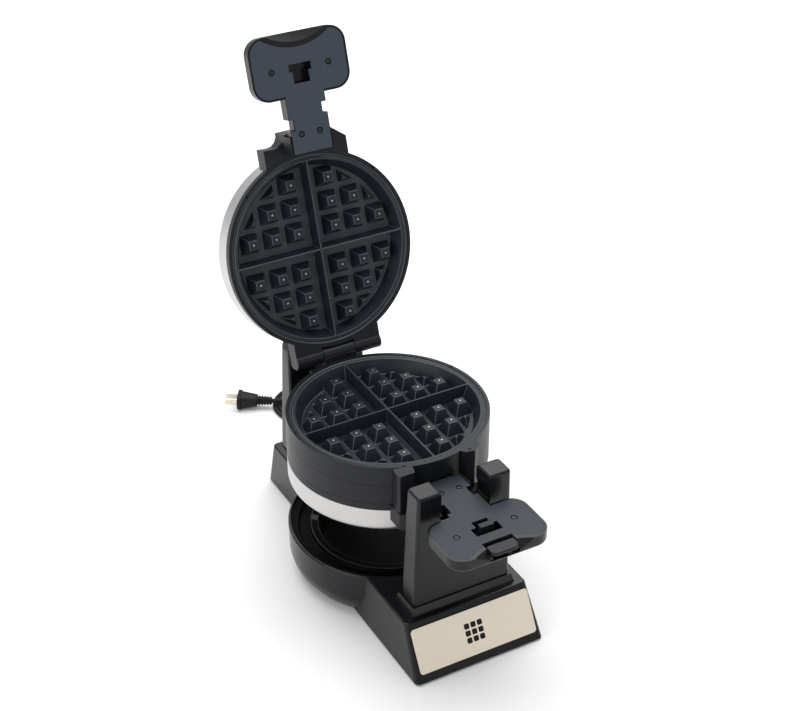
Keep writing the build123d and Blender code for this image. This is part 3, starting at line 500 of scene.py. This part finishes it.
# The four waffle plates: cast aluminium with a dark non-stick coating, screwed into their
# housings. Every edge gets a narrow lighter, shinier facet: partly wear of the coating, partly a painted
# highlight. The floor of the lids' plates is painted lighter, as painted light.
# Each pyramid ends in a small bump of bright metal, a painted glint on its top.
def non_stick():
    """Cast aluminium with a dark baked coating; its lighter edges and floors, partly wear and partly
    painted light, are separate materials.
    """
    paint = Paint("non_stick", Specular_IOR_Level=0.28)
    drift = paint.noise(0.02, 5)
    speck = paint.noise(0.0007, 2)
    paint.set(Base_Color=paint.between(drift, (0.009, 0.012, 0.018), (0.016, 0.021, 0.029)),
              Roughness=0.34 + 0.14 * drift)
    paint.bump(speck, 0.00004)
    return paint.material


nonstick = non_stick()
# A lighter, shinier coating for the bevel on every edge: partly wear, partly a painted highlight.
worn_and_highlit_edge = moulded("worn_and_highlit_edge", (0.050, 0.057, 0.066), 0.40, 0.0007, 0.00002, shine=0.6)
# A lighter coating for the floor of the lids' plates: painted light.
floor_painted_light = moulded("floor_painted_light", (0.038, 0.045, 0.055), 0.48, 0.0007, 0.00003, shine=0.35)
# Bright metal for a small bump on each pyramid's top: a painted glint.
glint_metal = plain_metal("glint_metal", (0.42, 0.43, 0.45), 0.22)


def cast(node, width):
    """A coated casting: flat facets, with one narrow lighter facet along every edge, partly wear and
    partly a painted highlight.
    """
    finish(nonstick, node)
    piece = copy_of(node, "_casting")
    bpy.ops.object.mode_set(mode="OBJECT")
    wear(piece, nonstick)
    piece.data.materials.append(worn_and_highlit_edge)
    modify(piece, "BEVEL", width=width, segments=1, limit_method="ANGLE", angle_limit=radians(35),
           use_clamp_overlap=False, material=1)
    chosen(piece)
    bpy.ops.object.shade_smooth_by_angle(angle=radians(15))
    stand_for(piece, node)
    return piece


def lifted(height):
    return Matrix.Translation((0, 0, height))


stud_first, stud_pitch, stud_top = 21.6 * MM, 26.0 * MM, -1.8 * MM
stud_spots = []
for column, row in ((0, 0), (1, 0), (0, 1), (1, 1), (2, 0), (0, 2)):
    x, y = stud_first + column * stud_pitch, stud_first + row * stud_pitch
    stud_spots += [Matrix.Translation((sx * x, sy * y, stud_top)) for sx in (-1, 1) for sy in (-1, 1)]
cavity_floor, floor_r = -15 * MM, 88 * MM
middle_rim, lid_rim = 0.0212, 0.0231
for node, place in (("middle_upper_waffle_plate", lifted(FLIP_AXIS + middle_rim)),
                    ("middle_lower_waffle_plate", lifted(FLIP_AXIS - middle_rim) @ turned),
                    ("top_waffle_plate", TOP @ lifted(lid_rim) @ turned),
                    ("bottom_waffle_plate", BOTTOM @ lifted(lid_rim) @ turned)):
    casting = cast(node, 0.35 * MM)
    # The floor faces of the lids' plates take the lighter coating: painted light where the lattice floor
    # catches the light.
    casting.data.materials.append(floor_painted_light)
    back = place.inverted()
    for face in casting.data.polygons:
        spot = back @ face.center
        on_floor = abs(spot.z - cavity_floor) < 0.4 * MM and math.hypot(spot.x, spot.y) < floor_r
        if body_of(node) != "drum" and on_floor and abs(face.normal.dot(place.col[2].xyz)) > 0.95:
            face.material_index = 2
    # A small bright bump on each pyramid's top: a painted glint.
    bpy.ops.mesh.primitive_cylinder_add(vertices=16, radius=1.15 * MM, depth=1.3 * MM)
    bump = settle(bpy.context.object)
    modify(bump, "BEVEL", width=0.55 * MM, segments=4, limit_method="ANGLE", angle_limit=radians(40))
    chosen(bump)
    bpy.ops.object.shade_smooth()
    glint_bumps = copies(bump, [place @ spot for spot in stud_spots], node + "_glint_bumps")
    wear(glint_bumps, glint_metal)
    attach(glint_bumps, body_of(node))

# Behind the waffle plates: bent steel heaters, bright reflectors and thermostats.
reflector_metal = plain_metal("reflector_metal", (0.76, 0.76, 0.77), 0.25)
finish(bright_steel, "top_heater", "middle_heater", "bottom_heater")
finish(bright_steel, "top_thermostat", "middle_thermostat", "bottom_thermostat")
finish(reflector_metal, "top_reflector", "bottom_reflector")
finish(rubber, "power_cord", "cord_coil", "cord_tail")

# The table: a pale sheet of paper, evenly lit from a white room, with a large lamp overhead and a
# window on the left.
bpy.ops.mesh.primitive_plane_add(size=30, location=(0, 0, -0.0002))
table = bpy.context.object
table.name = "table"
paper = Paint("paper", Roughness=0.9)
paper.set(Base_Color=paper.between(paper.noise(0.3), (0.86, 0.86, 0.87), (0.90, 0.90, 0.91)))
wear(table, paper.material)

world = bpy.data.worlds.new("studio")
scene.world = world
world.use_nodes = True
background = world.node_tree.nodes["Background"]
background.inputs["Color"].default_value = (1, 1, 1, 1)
background.inputs["Strength"].default_value = 0.62
scene.view_settings.view_transform = "Standard"


def lamp(name, place, aim, size, power):
    bpy.ops.object.light_add(type="AREA", location=place)
    light = bpy.context.object
    light.name = name
    light.data.shape = "RECTANGLE"
    light.data.size, light.data.size_y = size
    light.data.energy = power
    light.rotation_euler = (Vector(aim) - Vector(place)).to_track_quat("-Z", "Y").to_euler()


lamp("overhead", (0.4, 1.0, 2.4), (0, 0.1, 0.1), (3.2, 3.0), 85)
lamp("left_window", (-2.2, -0.6, 1.0), (0, 0, 0.2), (1.6, 1.6), 16)
